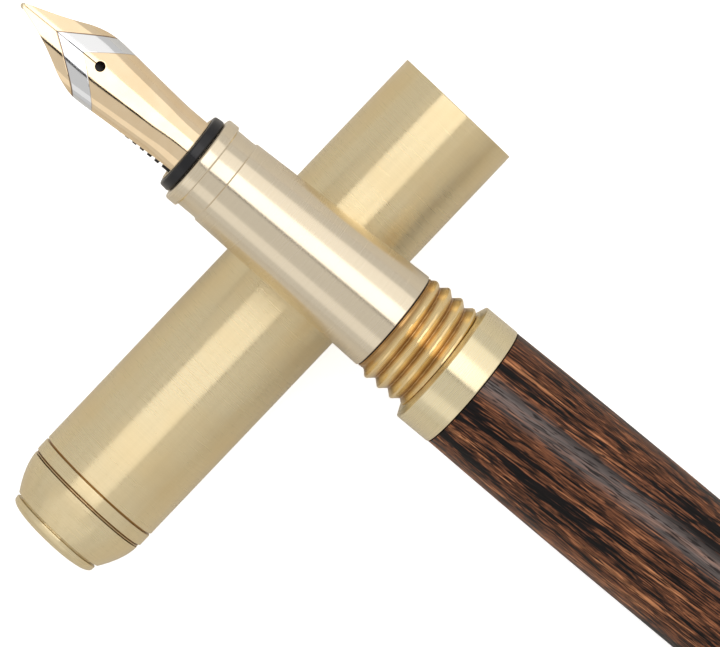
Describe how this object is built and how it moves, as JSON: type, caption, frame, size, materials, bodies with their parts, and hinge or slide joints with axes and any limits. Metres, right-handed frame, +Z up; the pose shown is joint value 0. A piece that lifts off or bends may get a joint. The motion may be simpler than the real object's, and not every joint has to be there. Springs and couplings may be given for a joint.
{
  "type": "fountain pen",
  "caption": "Fountain pen with a dark wooden barrel, metal grip, two-tone nib and piston converter, lying across its loose screw-on metal cap.",
  "frame": {"origin": "on the table, at the centre of the whole part's box", "axes": "+Z up from the table; +Y along the loose cap's axis, out of its mouth; the pen lies roughly along X with its nib towards -X"},
  "size_m": [0.1278, 0.0604, 0.0289],
  "materials": {
    "section_brass": "satin polished pale brass",
    "coupler_brass": "turned brass, cut thread and fine satin collar",
    "cap_brass": "brushed pale brass",
    "tail_brass": "brushed pale brass",
    "inner_brass": "plain drawn tube",
    "barrel_timber": "dark close-grained hardwood, satin lacquer",
    "nib_gold": "polished gold with a silver inlay",
    "nib_tip_metal": "polished",
    "seal_rubber": "smooth black rubber",
    "feed_plastic": "moulded black plastic",
    "piston_plastic": "moulded dark plastic",
    "converter_clear": "clear plastic tube",
    "converter_steel": "plated steel",
    "liner_plastic": "moulded black plastic"
  },
  "bodies": {
    "barrel": {"barrel_wood": "barrel_timber", "barrel_liner": "inner_brass", "front_coupler": "coupler_brass", "tail_ring": "tail_brass", "tail_dome": "tail_brass", "tail_stud": "converter_steel", "tail_button": "tail_brass"},
    "washer": {"section_washer": "seal_rubber"},
    "oring": {"section_oring": "seal_rubber"},
    "section": {"section_grip": "section_brass", "nib_housing": "feed_plastic"},
    "feed": {"feed": "feed_plastic"},
    "nib": {"nib_blade": "nib_gold", "nib_tipping": "nib_tip_metal"},
    "converter": {"converter_tube": "converter_clear", "converter_sleeve": "converter_steel", "converter_guide": "piston_plastic"},
    "knob": {"converter_knob": "converter_steel"},
    "piston": {"piston_rod": "piston_plastic", "piston_core": "piston_plastic", "piston_seal": "seal_rubber"},
    "cap": {"cap_tube": "cap_brass", "cap_ring": "cap_brass", "cap_dome": "cap_brass", "cap_liner": "liner_plastic", "cap_stud": "converter_steel", "cap_button": "cap_brass"}
  },
  "joints": [
    {"name": "cap_slide", "type": "slide", "parent": "barrel", "child": "cap", "axis": [0, -1, 0], "range_m": [0, 0.045]},
    {"name": "section_draw", "type": "slide", "parent": "barrel", "child": "washer", "axis": [-0.9861, -0.0638, 0.1536], "range_m": [0, 0.066]},
    {"name": "section_travel", "type": "slide", "parent": "washer", "child": "oring", "axis": [-0.9861, -0.0638, 0.1536], "range_m": [0, 0.00601]},
    {"name": "section_turn", "type": "hinge", "parent": "oring", "child": "section", "pos_m": [-0.03464, 0.00925, 0.0214], "axis": [-0.9861, -0.0638, 0.1536], "range_deg": [0, 2880]},
    {"name": "feed_pull", "type": "slide", "parent": "section", "child": "feed", "axis": [-0.9861, -0.0638, 0.1536], "range_m": [0, 0.0165]},
    {"name": "nib_pull", "type": "slide", "parent": "feed", "child": "nib", "axis": [-0.9861, -0.0638, 0.1536], "range_m": [0, 0.0145]},
    {"name": "converter_pull", "type": "slide", "parent": "section", "child": "converter", "axis": [0.9861, 0.0638, -0.1536], "range_m": [0, 0.0075]},
    {"name": "knob_turn", "type": "hinge", "parent": "converter", "child": "knob", "pos_m": [0.03439, 0.01372, 0.01065], "axis": [-0.9861, -0.0638, 0.1536], "range_deg": [0, 2520]},
    {"name": "piston_travel", "type": "slide", "parent": "converter", "child": "piston", "axis": [0.9861, 0.0638, -0.1536], "range_m": [0, 0.02051]}
  ],
  "couplings": [
    {"joint": "section_travel", "follows": "section_turn", "m_per_rad": 0.00011937},
    {"joint": "piston_travel", "follows": "knob_turn", "m_per_rad": 0.0004661}
  ]
}
